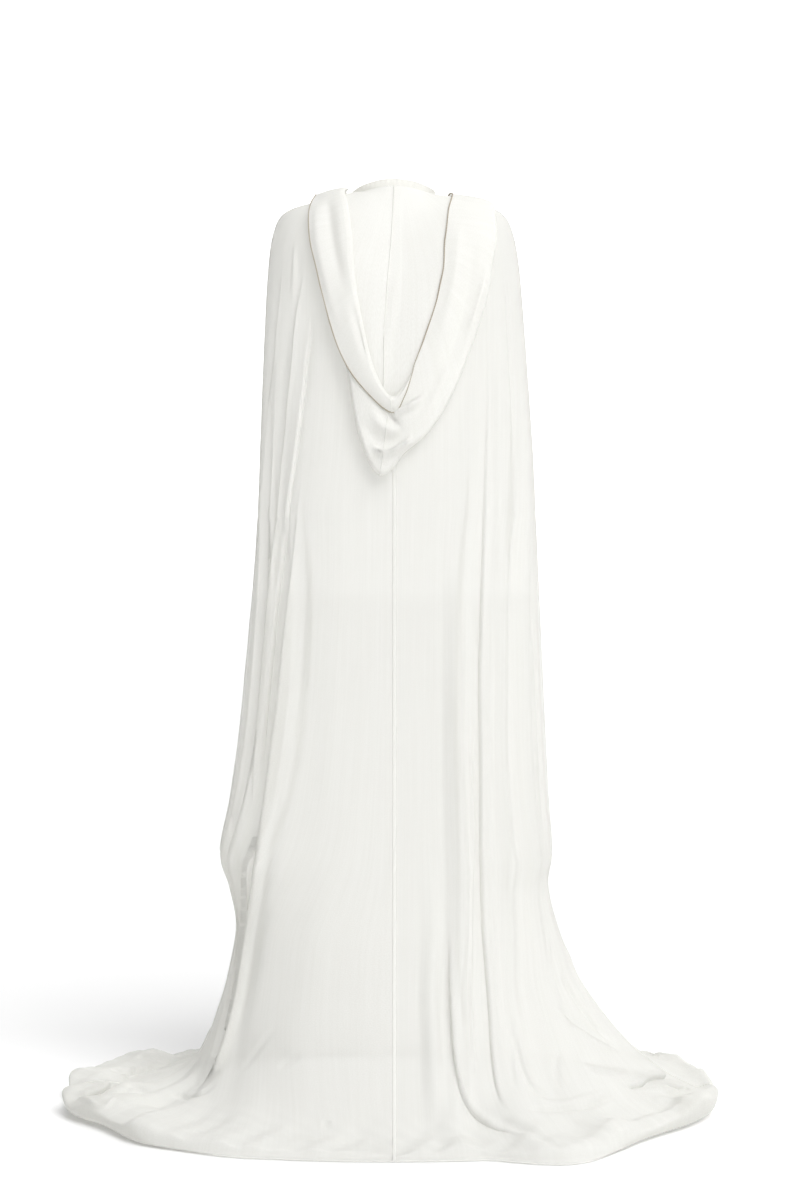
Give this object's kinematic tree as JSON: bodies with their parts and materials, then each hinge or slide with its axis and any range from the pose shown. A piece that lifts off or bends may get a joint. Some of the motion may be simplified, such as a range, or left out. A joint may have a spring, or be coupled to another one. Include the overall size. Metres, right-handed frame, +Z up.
{
  "type": "hooded kaftan",
  "caption": "Long sheer hooded kaftan in its worn hollow form, with wide cape-like sleeves cut in one with the body, a deep pointed hood thrown back, and a train on the floor.",
  "frame": {"origin": "middle of the neck's base, where the wearer's neck and shoulders hold the garment, 1.600 m above the floor that the train lies on", "axes": "+Z up, -Y the way the wearer faces, +X to the wearer's left"},
  "size_m": [1.1628, 0.8486, 1.6582],
  "materials": {
    "body_cloth": "sheer ivory crepe chiffon, matt with a faint sheen",
    "hood_cloth": "ivory crepe chiffon in several layers, matt with a faint sheen",
    "band_cloth": "doubled ivory crepe chiffon, matt"
  },
  "bodies": {
    "root": {"front_panel": "body_cloth", "back_panel_left": "body_cloth", "back_panel_right": "body_cloth", "neckband": "band_cloth", "hood_left": "hood_cloth", "hood_right": "hood_cloth"}
  },
  "joints": []
}
